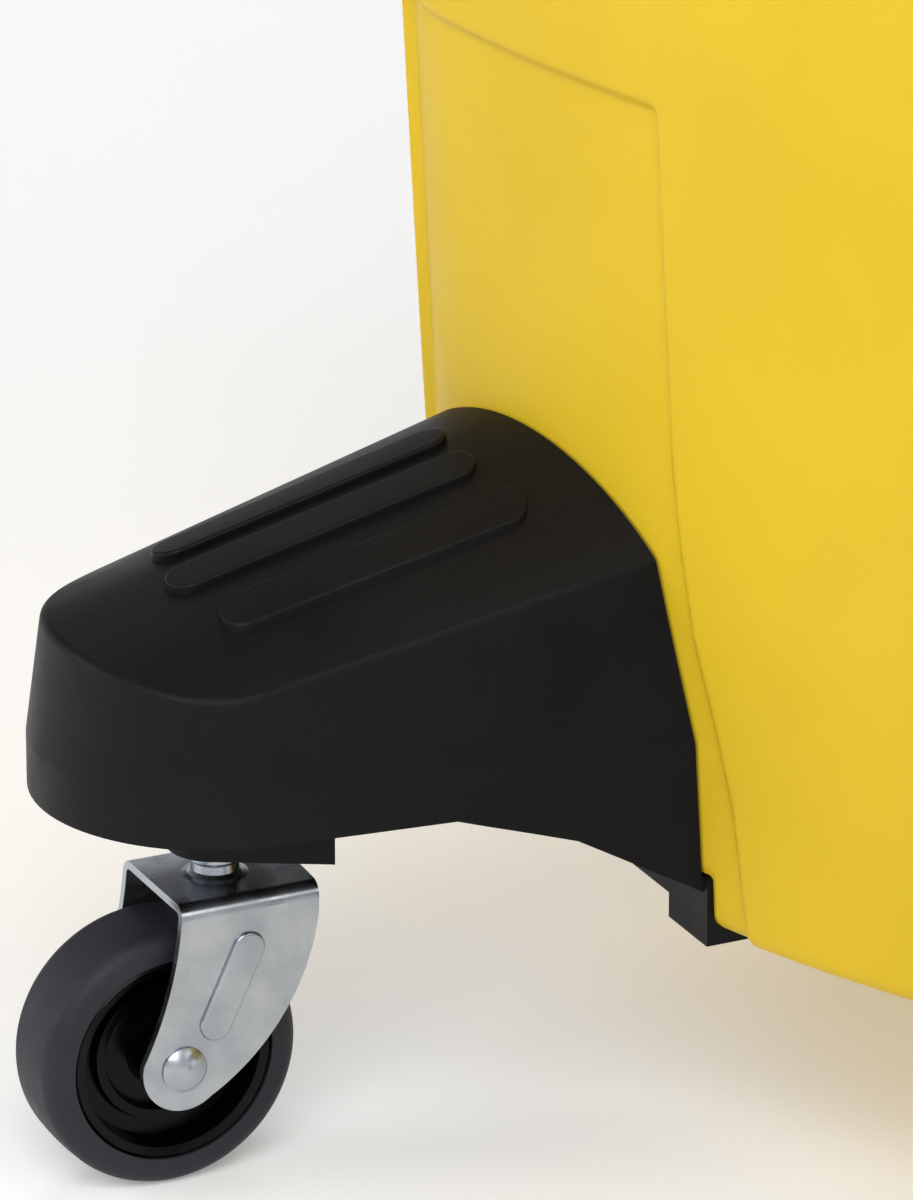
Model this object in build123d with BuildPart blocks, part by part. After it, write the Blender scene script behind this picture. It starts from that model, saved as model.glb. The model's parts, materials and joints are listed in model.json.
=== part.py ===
"""Mop bucket on four casters, with a side-press wringer on its rim and a wet mop standing in it.

Millimetres, +Z up. The origin is on the ground under the middle of the tub, +X points to the rear end of the
bucket, where the wringer sits, and the pouring lip is at -X. All dimensions are in the first section.
"""
from build123d import *
import math
import os

os.makedirs("parts", exist_ok=True)

# ---------------------------------------------------------------- driving dimensions

# Tub: a drafted oblong with bowed ends
TUB_BOTTOM = 62.9
RIM_TOP = 396.0
FLOOR_HALF_LENGTH = 215.0
FLOOR_HALF_WIDTH = 167.2
END_RADIUS = 387.0
CORNER_RADIUS = 58.0
WALL = 3.5
DRAFT = 2.9
BOTTOM_BEVEL = 4.0
RIM_OVERHANG = 12.0
RIM_THICKNESS = 4.0
RIM_SKIRT = 16.0
SPOUT_HALF_WIDTH = 58.0
SPOUT_REACH = 24.0
SPOUT_DEPTH = 62.0
DRAIN_HEIGHT = 96.0
DRAIN_RADIUS = 14.0
# The shallow pocket at each corner, as half-widths and heights seen along the leg
POCKET_DEPTH = 2.8
POCKET_SIDE = (
    (55.5, 265.0), (56.0, 176.0), (57.5, 159.0), (60.5, 137.0), (66.5, 115.0), (70.5, 97.0), (76.0, 40.0),
)
# The seat that takes the leg's root: a sloping step in the tub's lower corner
SEAT_BACK = -104.0
SEAT_STEP = 70.0
SEAT_TOP_BACK, SEAT_TOP = -68.0, 138.0
SEAT_HALF_WIDTH = 50.0
NOTCH_HALF_WIDTH, NOTCH_TOP = 61.5, 76.8
# The pad under the floor that the tub rests on when it is set down
PAD_LENGTH, PAD_WIDTH, PAD_HEIGHT = 240.0, 150.0, 1.2

# Legs and casters: the swivel axes stand at the corners of a rectangle and the legs splay outward
SWIVEL_X = 276.6
SWIVEL_Y = 138.4
LEG_SPLAY = 24.15
LEG_BOTTOM = 97.0
LEG_TAB_BOTTOM = 59.3
LEG_TAB_FRONT = -98.5
LEG_TAB_INNER = 41.0
LEG_TIP_RADIUS = 43.6
LEG_CREASE = 110.0
LEG_LOFT_TOP = 190.0
LEG_LOFT_RADIUS = 33.0
# Half-widths of the leg at stations towards the tub, at the crease and at the top of the drafted sides
LEG_STATIONS = ((-50.0, 49.5, 38.4), (-72.5, 53.0, 39.4), (-95.0, 58.0, 39.8), (-140.0, 66.0, 42.0))
LEG_WALL = 3.5
LEG_GAP = 0.8
LEG_TOP_FILLET = 2.5
CROWN_HEIGHT = 150.3
CROWN_SLOPE = 0.28
CROWN_RADIUS = 72.0
CROWN_OFFSET = -4.0
# Each rib's two ends: the one at the root and the one at the tip
RIBS = (((-64.5, -10.0), (8.0, -16.0)), ((-64.2, 6.6), (12.1, 1.5)), ((-68.3, 25.3), (6.8, 20.0)))
RIB_WIDTH = 10.7
RIB_HEIGHT = 2.0
BOSS_BOTTOM = 80.5
BOSS_RADIUS = 11.5
STEM_RADIUS = 5.5
STEM_TOP = 116.0
SCREW_PLACES = ((-118.0, -36.0), (-128.0, 0.0), (-118.0, 36.0))

WHEEL_RADIUS = 32.5
WHEEL_HALF_WIDTH = 11.45
AXLE_TRAIL = 15.9
AXLE_RADIUS = 3.0
HUB_RADIUS = 25.2
FORK_TOP = 73.3
FORK_SHEET = 2.0
FORK_HALF_WIDTH = 17.2
PIVOT_RADIUS = 4.0
FIT = 0.06

# Wringer: a frame over the side rims, with two plates driven by a pinion and two racks
WRINGER_X = 85.0
RING_FRONT, RING_REAR = 0.0, 172.0
RING_THICKNESS = 8.7
RING_GAP = 0.3
HOOK_DROP = 17.0
BASKET_HALF_LENGTH = 75.0
BASKET_HALF_WIDTH = 142.0
BASKET_BOTTOM = 250.0
BASKET_WALL = 2.5
PLATE_HALF_WIDTH = 138.0
PLATE_BOTTOM = 262.0
PLATE_TOP = 412.0
PLATE_GAP = 116.0
PLATE_SHEET = 4.0
PLATE_DEPTH = 14.0
MODULE = 2.5
PINION_TEETH = 20
PRESSURE_ANGLE = 20.0
BACKLASH = 0.25
RACK_BACKING = 8.0
RACK_WIDTH = 12.0
EAR_THICKNESS = 6.0
EAR_INNER_Y = 146.0
SHAFT_RADIUS = 8.0
BUSH_RADIUS = 11.0
COVER_OUTER_Y = 172.5
COVER_INNER_Y = 135.8
COVER_TOP = 492.0
COVER_SHEET = 2.2
LEVER_Y = -187.0
LEVER_TUBE_RADIUS = 11.0
LEVER_TOP = 900.0
GRIP_BOTTOM, GRIP_TOP = 778.0, 914.0
GRIP_RADIUS = 16.0

# Mop: it stands in the front half of the tub
MOP_X = -112.0
HANDLE_RADIUS = 12.5
HANDLE_BOTTOM, HANDLE_TOP = 312.0, 1425.0
CLAMP_HALF_WIDTH = 80.0
CLAMP_HALF_DEPTH = 15.0
GATE_BOTTOM, GATE_TOP = 232.0, 246.0
BAND_TOP = 268.0
YARN_BOTTOM = TUB_BOTTOM + WALL + 0.7

# ---------------------------------------------------------------- derived values

DRAFT_RATE = math.tan(math.radians(DRAFT))
RIM_GROW = (RIM_TOP - TUB_BOTTOM) * DRAFT_RATE
PITCH_RADIUS = MODULE * PINION_TEETH / 2
PITCH = MODULE * math.pi
TOOTH_TOP, TOOTH_ROOT = MODULE, 1.25 * MODULE
RING_BOTTOM = RIM_TOP + RING_GAP
RING_TOP = RING_BOTTOM + RING_THICKNESS
RACK_BOTTOM = RING_TOP + 5.0
PINION_Z = RACK_BOTTOM + RACK_BACKING + TOOTH_ROOT + PITCH_RADIUS
RACK_INNER_Y = EAR_INNER_Y + EAR_THICKNESS
FRONT, REAR = -1, 1

CORNERS = {
    "front_right": Location((-SWIVEL_X, SWIVEL_Y, 0), (0, 0, 180 - LEG_SPLAY)),
    "front_left": Location((-SWIVEL_X, -SWIVEL_Y, 0), (0, 0, 180 + LEG_SPLAY)),
    "rear_right": Location((SWIVEL_X, SWIVEL_Y, 0), (0, 0, LEG_SPLAY)),
    "rear_left": Location((SWIVEL_X, -SWIVEL_Y, 0), (0, 0, -LEG_SPLAY)),
}


def save(part, name):
    """Label a finished piece and write it as its own STEP file."""
    part.label = name
    export_step(part, f"parts/{name}.step")


def box_between(low, high, mode=Mode.ADD):
    """A box from its lowest to its highest corner."""
    middle = [(a + b) / 2 for a, b in zip(low, high)]
    with Locations(tuple(middle)):
        Box(*[b - a for a, b in zip(low, high)], mode=mode)


# ---------------------------------------------------------------- tub


def tub_plan(sketch, grow):
    """The tub's plan, grown outward from its size at the floor: bowed ends, straight sides, round corners."""
    half_length, half_width = FLOOR_HALF_LENGTH + grow, FLOOR_HALF_WIDTH + grow
    end_radius = END_RADIUS + grow
    corner_x = half_length - end_radius + math.sqrt(end_radius**2 - half_width**2)
    with BuildLine() as outline:
        Line((-corner_x, -half_width), (corner_x, -half_width))
        ThreePointArc((corner_x, -half_width), (half_length, 0), (corner_x, half_width))
        Line((corner_x, half_width), (-corner_x, half_width))
        ThreePointArc((-corner_x, half_width), (-half_length, 0), (-corner_x, -half_width))
    make_face(outline.edges())
    fillet(sketch.vertices(), radius=CORNER_RADIUS + grow)


def spout_plan(inset, narrowing, reach):
    """Plan of the pouring lip: a rounded tongue that points to the front."""
    base_x = -FLOOR_HALF_LENGTH + 30
    half = SPOUT_HALF_WIDTH - narrowing - inset
    with BuildLine() as outline:
        Polyline((-reach + inset, -half * 0.45), (base_x, -half), (base_x, half), (-reach + inset, half * 0.45))
        ThreePointArc((-reach + inset, half * 0.45), (-reach - 6 + inset, 0), (-reach + inset, -half * 0.45))
    make_face(outline.edges())


def tub_block(grow, bottom, bevel):
    """The plain drafted tub as a solid, grown outward, from a bottom height up to the rim."""
    bottom_grow = grow + (bottom - TUB_BOTTOM) * DRAFT_RATE
    with BuildPart() as block:
        with BuildSketch(Plane.XY.offset(bottom)) as edge_plan:
            tub_plan(edge_plan, bottom_grow - bevel)
        extrude(amount=bevel, taper=-math.degrees(math.atan(1 + DRAFT_RATE)))
        with BuildSketch(Plane.XY.offset(bottom + bevel)) as plan:
            tub_plan(plan, bottom_grow + bevel * DRAFT_RATE)
        extrude(amount=RIM_TOP - bottom - bevel, taper=-DRAFT)
    return block.part


def pocket_region(grow):
    """What lies before one corner inside the pocket's outline, seen along the leg."""
    top = POCKET_SIDE[0][1] + grow
    side = [(width + grow, height) for width, height in POCKET_SIDE[1:]]
    side = [(POCKET_SIDE[0][0] + grow, top), *side]
    outline = [*side, *[(-width, height) for width, height in reversed(side)], side[0]]
    with BuildPart() as region:
        with BuildSketch(Plane.YZ.offset(-150)):
            with BuildLine():
                Polyline(*outline)
            make_face()
        extrude(amount=200)
    return region.part


def seat_line(grow):
    """Side outline of a leg seat from the floor up: a short step, the slope, and the roof's inner end."""
    return [
        (SEAT_BACK - grow, 20),
        (SEAT_BACK - grow, SEAT_STEP + 0.25 * grow),
        (SEAT_TOP_BACK - 0.6 * grow, SEAT_TOP + grow),
    ]


def seat_region(grow):
    """The space of one leg seat and of the notch for its feet, out to well before the corner."""
    points = [*seat_line(grow), (60, SEAT_TOP + grow), (60, 20), (SEAT_BACK - grow, 20)]
    with BuildPart() as region:
        with BuildSketch(Plane.XZ):
            with BuildLine():
                Polyline(*points)
            make_face()
        extrude(amount=SEAT_HALF_WIDTH + grow, both=True)
        notch_side = NOTCH_HALF_WIDTH + grow
        box_between((SEAT_BACK - grow, -notch_side, 20), (60, notch_side, NOTCH_TOP + grow))
    return region.part


def tub_form(grow, bottom, bevel):
    """The tub with its corner pockets and leg seats as a solid, with every face moved outward by grow."""
    core = tub_block(grow - POCKET_DEPTH, bottom, bevel)
    with BuildPart() as form:
        add(tub_block(grow, bottom, bevel))
        for place in CORNERS.values():
            add(pocket_region(-grow).moved(place) - core, mode=Mode.SUBTRACT)
            add(seat_region(-grow).moved(place), mode=Mode.SUBTRACT)
    return form.part


spout_reach = FLOOR_HALF_LENGTH + RIM_GROW + SPOUT_REACH
with BuildPart() as spout_cavity:
    with BuildSketch(Plane.XY.offset(RIM_TOP - SPOUT_DEPTH + WALL)):
        spout_plan(WALL, 30, FLOOR_HALF_LENGTH + 4)
    with BuildSketch(Plane.XY.offset(RIM_TOP + 1)):
        spout_plan(WALL, 0, spout_reach)
    loft(ruled=True)

with BuildPart() as bucket_tub:
    with BuildSketch(Plane.XY.offset(RIM_TOP - RIM_SKIRT)) as rim_plan:
        tub_plan(rim_plan, RIM_GROW + RIM_OVERHANG)
    extrude(amount=RIM_SKIRT)
    with BuildSketch(Plane.XY.offset(RIM_TOP - RIM_SKIRT)) as rim_underside_plan:
        tub_plan(rim_underside_plan, RIM_GROW + RIM_OVERHANG - RIM_THICKNESS)
    extrude(amount=RIM_SKIRT - RIM_THICKNESS, mode=Mode.SUBTRACT)
    with BuildSketch(Plane.XY.offset(RIM_TOP - SPOUT_DEPTH)):
        spout_plan(0, 30, FLOOR_HALF_LENGTH + 4)
    with BuildSketch(Plane.XY.offset(RIM_TOP)):
        spout_plan(0, 0, spout_reach)
    loft(ruled=True)
    add(tub_form(0, TUB_BOTTOM, BOTTOM_BEVEL))
    add(tub_form(-WALL, TUB_BOTTOM + WALL, BOTTOM_BEVEL / 2), mode=Mode.SUBTRACT)
    add(spout_cavity.part, mode=Mode.SUBTRACT)
    with BuildSketch(Plane.XY.offset(TUB_BOTTOM)):
        RectangleRounded(PAD_LENGTH, PAD_WIDTH, 12)
    extrude(amount=-PAD_HEIGHT)
    screw_holes = [place * Location((x, y, TUB_BOTTOM)) for place in CORNERS.values() for x, y in SCREW_PLACES]
    with Locations(*screw_holes):
        Cylinder(2.1 + FIT, 5.6, mode=Mode.SUBTRACT)
    with BuildSketch(Plane.YZ.offset(FLOOR_HALF_LENGTH - 20)):
        with Locations((0, DRAIN_HEIGHT)):
            Circle(DRAIN_RADIUS)
    extrude(amount=40, mode=Mode.SUBTRACT)
save(bucket_tub.part, "bucket_tub")

drain_wall_x = FLOOR_HALF_LENGTH + (DRAIN_HEIGHT - TUB_BOTTOM) * DRAFT_RATE
with BuildPart() as drain_gasket:
    with BuildSketch(Plane.YZ.offset(drain_wall_x + 1.2)):
        with Locations((0, DRAIN_HEIGHT)):
            Circle(DRAIN_RADIUS + 6)
            Circle(DRAIN_RADIUS, mode=Mode.SUBTRACT)
    extrude(amount=2.5)
save(drain_gasket.part, "drain_gasket")

with BuildPart() as drain_plug:
    with BuildSketch(Plane.YZ.offset(drain_wall_x + 3.9)):
        with Locations((0, DRAIN_HEIGHT)):
            Circle(DRAIN_RADIUS + 7)
    extrude(amount=5)
    fillet(drain_plug.faces().sort_by(Axis.X)[-1].edges(), 2)
    with BuildSketch(Plane.YZ.offset(drain_wall_x - 12)):
        with Locations((0, DRAIN_HEIGHT)):
            Circle(DRAIN_RADIUS - 0.6)
            Circle(DRAIN_RADIUS - 3.5, mode=Mode.SUBTRACT)
    extrude(amount=18)
    with BuildSketch(Plane.YZ.offset(drain_wall_x + 8)):
        with Locations((0, DRAIN_HEIGHT)):
            SlotOverall(32, 7)
    extrude(amount=9)
    fillet(drain_plug.faces().sort_by(Axis.X)[-1].edges(), 1.5)
save(drain_plug.part, "drain_plug")

# ---------------------------------------------------------------- legs

slope_angle = math.atan(CROWN_SLOPE)
crown_plane = Plane(
    origin=(-200, CROWN_OFFSET, CROWN_HEIGHT + 200 * CROWN_SLOPE),
    x_dir=(0, 1, 0),
    z_dir=(math.cos(slope_angle), 0, -math.sin(slope_angle)),
)


def under_crown(lift):
    """Everything under the leg's sloping, crowned top when that top is lifted square to itself."""
    half_span = 66.0
    radius = CROWN_RADIUS + lift
    drop = radius - math.sqrt(radius**2 - half_span**2)
    with BuildPart() as block:
        with BuildSketch(crown_plane):
            with BuildLine():
                ThreePointArc((-half_span, lift - drop), (0, lift), (half_span, lift - drop))
                Polyline((half_span, lift - drop), (half_span, -250), (-half_span, -250), (-half_span, lift - drop))
            make_face()
        extrude(amount=300)
    return block.part


def leg_plan(radius, half_widths, inset):
    """The leg's plan: a round tip over the caster and sides that flare in a curve towards the tub."""
    radius -= inset
    sides = [(station[0], half - inset) for station, half in zip(LEG_STATIONS, half_widths)]
    flare = math.atan2(sides[0][1] - radius, -sides[0][0])
    tangent = (radius * math.sin(flare), radius * math.cos(flare))
    others = [(x, -y) for x, y in sides]
    with BuildLine() as outline:
        Line(tangent, sides[0])
        ThreePointArc(sides[0], sides[1], sides[2])
        Polyline(sides[2], sides[3], others[3], others[2])
        ThreePointArc(others[2], others[1], others[0])
        Line(others[0], (tangent[0], -tangent[1]))
        ThreePointArc((tangent[0], -tangent[1]), (radius, 0), tangent)
    make_face(outline.edges())


def leg_block(inset):
    """The leg's outer form, or with an inset the hollow inside it."""
    low_widths = [station[1] for station in LEG_STATIONS]
    high_widths = [station[2] for station in LEG_STATIONS]
    crown = under_crown(-inset)
    with BuildPart() as block:
        with BuildSketch(Plane.XY.offset(LEG_TAB_BOTTOM - 10)):
            leg_plan(LEG_TIP_RADIUS, low_widths, inset)
        extrude(amount=LEG_CREASE - LEG_TAB_BOTTOM + 10)
        with BuildSketch(Plane.XY.offset(LEG_CREASE)):
            leg_plan(LEG_TIP_RADIUS, low_widths, inset)
        with BuildSketch(Plane.XY.offset(LEG_LOFT_TOP)):
            leg_plan(LEG_LOFT_RADIUS, high_widths, inset)
        loft(ruled=True)
        add(crown, mode=Mode.INTERSECT)
    return block.part


# Side outline of the space under the leg: level below the tip, then down towards the tab under the tub
underside_points = [
    (60, LEG_BOTTOM), (-40, LEG_BOTTOM), (-48, 94.5), (-69, 88.3), (-88, 78), (LEG_TAB_FRONT, 72.5),
    (LEG_TAB_FRONT, LEG_TAB_BOTTOM), (-150, LEG_TAB_BOTTOM), (-150, 20), (60, 20), (60, LEG_BOTTOM),
]
with BuildPart() as underside:
    with BuildSketch(Plane.XZ):
        with BuildLine():
            Polyline(*underside_points)
        make_face()
    extrude(amount=90, both=True)

with BuildPart() as rib_bars:
    with BuildSketch(Plane.XY.offset(120)):
        for (root_x, root_y), (tip_x, tip_y) in RIBS:
            rib_turn = math.degrees(math.atan2(tip_y - root_y, tip_x - root_x))
            with Locations(((root_x + tip_x) / 2, (root_y + tip_y) / 2)):
                SlotOverall(math.hypot(tip_x - root_x, tip_y - root_y), RIB_WIDTH, rotation=rib_turn)
    extrude(amount=70)
    add(under_crown(RIB_HEIGHT), mode=Mode.INTERSECT)
    add(under_crown(-LEG_WALL / 2), mode=Mode.SUBTRACT)
    fillet(rib_bars.faces().filter_by(GeomType.CYLINDER).sort_by(Axis.Z)[-3:].edges(), RIB_HEIGHT * 0.4)

# The tub as a solid block, grown by the gap that the legs keep from its wall
tub_space = tub_form(LEG_GAP, TUB_BOTTOM - 0.4, BOTTOM_BEVEL)

with BuildPart() as leg_skin:
    add(leg_block(0))
    top_face = leg_skin.faces().sort_by(Axis.Z)[-1]
    rounded = [edge for edge in top_face.edges() if (edge @ 0).X > -138.9]
    fillet(rounded, LEG_TOP_FILLET)

# The root's end plate, which lies in the tub's seat
with BuildPart() as root_plate:
    with BuildSketch(Plane.XZ):
        with BuildLine():
            near, far = seat_line(-LEG_GAP), seat_line(-LEG_GAP - LEG_WALL)
            foot = TUB_BOTTOM + 2
            Polyline((near[0][0], foot), *near[1:], *reversed(far[1:]), (far[0][0], foot), (near[0][0], foot))
        make_face()
    extrude(amount=SEAT_HALF_WIDTH - LEG_GAP, both=True)
    add(leg_block(1.0), mode=Mode.INTERSECT)

with BuildPart() as leg:
    add(leg_skin.part)
    add(underside.part, mode=Mode.SUBTRACT)
    add(leg_block(LEG_WALL), mode=Mode.SUBTRACT)
    # Floor of the tip, and the boss under it that holds the caster's stem
    with BuildSketch(Plane.XY.offset(LEG_BOTTOM)):
        leg_plan(LEG_TIP_RADIUS, [station[1] for station in LEG_STATIONS], LEG_WALL / 2)
        with Locations((-26 - 150, 0)):
            Rectangle(300, 200, mode=Mode.SUBTRACT)
    extrude(amount=LEG_WALL)
    with BuildSketch(Plane.XY.offset(BOSS_BOTTOM)):
        with BuildLine():
            Line((-20, 24), (-20, -24))
            Line((-20, -24), (4, -BOSS_RADIUS + 0.5))
            ThreePointArc((4, -BOSS_RADIUS + 0.5), (BOSS_RADIUS, 0), (4, BOSS_RADIUS - 0.5))
            Line((4, BOSS_RADIUS - 0.5), (-20, 24))
        make_face()
    extrude(amount=LEG_BOTTOM - BOSS_BOTTOM + 1)
    with BuildSketch(Plane.XY.offset(LEG_BOTTOM)):
        Circle(BOSS_RADIUS)
        with Locations((-70, 0)):
            Rectangle(140, LEG_WALL)
    extrude(amount=90)
    add(root_plate.part)
    # A foot at each side, joined by the tab under the tub's floor
    for side in (-1, 1):
        low_y, high_y = sorted((side * LEG_TAB_INNER, side * (NOTCH_HALF_WIDTH - LEG_GAP)))
        box_between((-135, low_y, LEG_TAB_BOTTOM), (LEG_TAB_FRONT, high_y, 76))
    box_between((-136, -60, LEG_TAB_BOTTOM), (-105, 60, TUB_BOTTOM))
    add(under_crown(0), mode=Mode.INTERSECT)
    add(rib_bars.part)
    with BuildSketch(Plane.XY.offset(BOSS_BOTTOM)):
        Circle(STEM_RADIUS + FIT)
    extrude(amount=STEM_TOP - BOSS_BOTTOM + 1, mode=Mode.SUBTRACT)
screw_solids = []
for corner, place in CORNERS.items():
    with BuildPart() as placed_leg:
        add(leg.part.moved(place))
        add(tub_space, mode=Mode.SUBTRACT)
        holes = [place * Location((x, y, LEG_TAB_BOTTOM)) for x, y in SCREW_PLACES]
        with Locations(*holes):
            Cylinder(2.4, 12, mode=Mode.SUBTRACT)
    leg_solid = placed_leg.part.solids().sort_by(SortBy.VOLUME)[-1]
    save(Part(leg_solid.wrapped), f"{corner}_leg")
    with BuildPart() as screws:
        with Locations(*holes):
            Cylinder(4.2, 2.4, align=(Align.CENTER, Align.CENTER, Align.MAX))
            Cylinder(2.1, 6.2, align=(Align.CENTER, Align.CENTER, Align.MIN))
    screw_solids += screws.part.solids()
save(Compound(label="leg_screws", children=screw_solids), "leg_screws")

# ---------------------------------------------------------------- casters, in the frame of one swivel axis

with BuildPart() as caster_stem:
    with BuildSketch(Plane.XZ):
        with BuildLine():
            Polyline(
                (0, 67.8), (5.5, 67.8), (7.6, 69.5), (7.6, FORK_TOP - FORK_SHEET - 0.1),
                (PIVOT_RADIUS, FORK_TOP - FORK_SHEET - 0.1), (PIVOT_RADIUS, 76.5), (5.2, 76.5), (5.2, 77.0),
                (6.3, 77.1), (6.9, 77.7), (6.9, 79.2), (6.4, 79.8), (6.4, BOSS_BOTTOM - 0.1),
                (STEM_RADIUS, BOSS_BOTTOM - 0.1),
                (STEM_RADIUS, STEM_TOP - 2), (STEM_RADIUS - 2, STEM_TOP), (0, STEM_TOP), (0, 67.8),
            )
        make_face()
    revolve(axis=Axis.Z)

with BuildPart() as fork_side:
    with BuildSketch(Plane.XZ):
        with BuildLine():
            Line((-26, 80), (-26, 69))
            Line((-26, 69), (-19.1, 68))
            ThreePointArc((-19.1, 68), (-11.6, 44.8), (9.2, 24.4))
            ThreePointArc((9.2, 24.4), (AXLE_TRAIL + 3, 22.5), (AXLE_TRAIL + 10.2, 35))
            ThreePointArc((AXLE_TRAIL + 10.2, 35), (19.0, 53.3), (AXLE_TRAIL, 72))
            Line((AXLE_TRAIL, 72), (AXLE_TRAIL, 80))
            Line((AXLE_TRAIL, 80), (-26, 80))
        make_face()
    extrude(amount=40, both=True)

with BuildPart() as fork_end:
    with BuildSketch(Plane.XY):
        with BuildLine():
            Line((40, 30), (40, -30))
            Line((40, -30), (-17.3, -30))
            ThreePointArc((-17.3, -30), (-19.8, 0), (-17.3, 30))
            Line((-17.3, 30), (40, 30))
        make_face()
    extrude(amount=90)

with BuildPart() as caster_fork:
    with BuildSketch(Plane.YZ.offset(-30)):
        with Locations((0, FORK_TOP - 35)):
            RectangleRounded(2 * FORK_HALF_WIDTH, 70, 3.4)
            RectangleRounded(2 * (FORK_HALF_WIDTH - FORK_SHEET), 70 - 2 * FORK_SHEET, 1.4, mode=Mode.SUBTRACT)
    extrude(amount=70)
    add(fork_side.part, mode=Mode.INTERSECT)
    add(fork_end.part, mode=Mode.INTERSECT)
    with BuildSketch(Plane.XZ):
        with BuildLine():
            Polyline(
                (0, FORK_TOP - 1), (7.9, FORK_TOP - 1), (7.9, FORK_TOP), (6.7, FORK_TOP + 0.4), (5.8, FORK_TOP + 1.3),
                (5.4, 76.4), (0, 76.4), (0, FORK_TOP - 1),
            )
        make_face()
    revolve(axis=Axis.Z)
    with Locations((0, 0, FORK_TOP)):
        Cylinder(PIVOT_RADIUS + FIT, 12, mode=Mode.SUBTRACT)
    with BuildSketch(Plane.XZ):
        with Locations((AXLE_TRAIL, WHEEL_RADIUS)):
            Circle(AXLE_RADIUS + FIT)
    extrude(amount=30, both=True, mode=Mode.SUBTRACT)
    # The pressed stiffening rib on each cheek
    for side in (-1, 1):
        rib_plane = Plane(
            origin=(3.5, side * (FORK_HALF_WIDTH + 0.9), 51.5), x_dir=(10, 0, -21), z_dir=(0, side, 0)
        )
        with BuildSketch(rib_plane):
            SlotOverall(28, 8.2)
        extrude(amount=-1.4)
        fillet(caster_fork.faces().sort_by(Axis.Y)[-1 if side == 1 else 0].edges(), 0.8)

wheel_axis = Axis((AXLE_TRAIL, 0, WHEEL_RADIUS), (0, 1, 0))
head_base = FORK_HALF_WIDTH + 0.05
with BuildPart() as caster_axle:
    with BuildSketch(Plane.XZ):
        with Locations((AXLE_TRAIL, WHEEL_RADIUS)):
            Circle(AXLE_RADIUS)
    extrude(amount=FORK_HALF_WIDTH + 0.5, both=True)
    head_section = Plane(origin=(AXLE_TRAIL, 0, WHEEL_RADIUS), x_dir=(1, 0, 0), z_dir=(0, 0, 1))
    for side in (-1, 1):
        with BuildSketch(head_section):
            with BuildLine():
                Polyline(
                    (5.6, side * (head_base + 0.5)), (5.6, side * head_base), (0, side * head_base),
                    (0, side * (head_base + 2.7)),
                )
                ThreePointArc(
                    (0, side * (head_base + 2.7)), (3.6, side * (head_base + 1.8)), (5.6, side * (head_base + 0.5))
                )
            make_face()
        revolve(axis=wheel_axis)

wheel_section = Plane(origin=(AXLE_TRAIL, 0, WHEEL_RADIUS), x_dir=(0, 0, 1), z_dir=(1, 0, 0))

with BuildPart() as caster_hub:
    with BuildSketch(wheel_section):
        with BuildLine():
            # Radius first, then the place across the wheel
            half_section = [
                (AXLE_RADIUS + FIT, 14.2), (6.4, 14.2), (8.4, 12.6), (9.2, 4.0), (14.2, 3.2), (15.0, 5.4), (17.2, 5.4),
                (18.0, 3.2), (21.6, 3.6), (22.4, 10.6), (HUB_RADIUS - 0.8, 11.2), (HUB_RADIUS - 0.05, 10.6),
            ]
            other_half = [(radius, -across) for radius, across in reversed(half_section)]
            Polyline(*half_section, *other_half, half_section[0])
        make_face()
    revolve(axis=wheel_axis)

with BuildPart() as caster_tread:
    with BuildSketch(wheel_section):
        with BuildLine():
            shoulder = WHEEL_RADIUS - 4.6
            Line((HUB_RADIUS, -WHEEL_HALF_WIDTH), (HUB_RADIUS, WHEEL_HALF_WIDTH))
            Line((HUB_RADIUS, WHEEL_HALF_WIDTH), (shoulder, WHEEL_HALF_WIDTH))
            ThreePointArc(
                (shoulder, WHEEL_HALF_WIDTH), (WHEEL_RADIUS - 1.7, WHEEL_HALF_WIDTH - 1.3),
                (WHEEL_RADIUS - 0.25, WHEEL_HALF_WIDTH - 5),
            )
            ThreePointArc(
                (WHEEL_RADIUS - 0.25, WHEEL_HALF_WIDTH - 5), (WHEEL_RADIUS, 0), (WHEEL_RADIUS - 0.25, 5 - WHEEL_HALF_WIDTH)
            )
            ThreePointArc(
                (WHEEL_RADIUS - 0.25, 5 - WHEEL_HALF_WIDTH), (WHEEL_RADIUS - 1.7, 1.3 - WHEEL_HALF_WIDTH),
                (shoulder, -WHEEL_HALF_WIDTH),
            )
            Line((shoulder, -WHEEL_HALF_WIDTH), (HUB_RADIUS, -WHEEL_HALF_WIDTH))
        make_face()
    revolve(axis=wheel_axis)

caster_pieces = {
    "caster_stem": caster_stem.part,
    "caster_fork": caster_fork.part,
    "caster_axle": caster_axle.part,
    "wheel_hub": caster_hub.part,
    "wheel_tread": caster_tread.part,
}
for corner, place in CORNERS.items():
    for piece_name, piece in caster_pieces.items():
        save(piece.moved(place), f"{corner}_{piece_name}")

# ---------------------------------------------------------------- wringer


def basket_slots(count_x, count_y, pitch_x, pitch_y, length, width, turned=0):
    """A field of drainage slots on the current sketch plane."""
    with GridLocations(pitch_x, pitch_y, count_x, count_y):
        SlotOverall(length, width, rotation=turned, mode=Mode.SUBTRACT)


basket_front = WRINGER_X - BASKET_HALF_LENGTH
bracket_outer_y = COVER_OUTER_Y - COVER_SHEET - 0.3
post_places = [
    (x, side * (COVER_OUTER_Y - 6.5)) for x in (RING_FRONT + 9, RING_REAR - 9) for side in (-1, 1)
]
post_top = COVER_TOP - COVER_SHEET - 0.2

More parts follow.
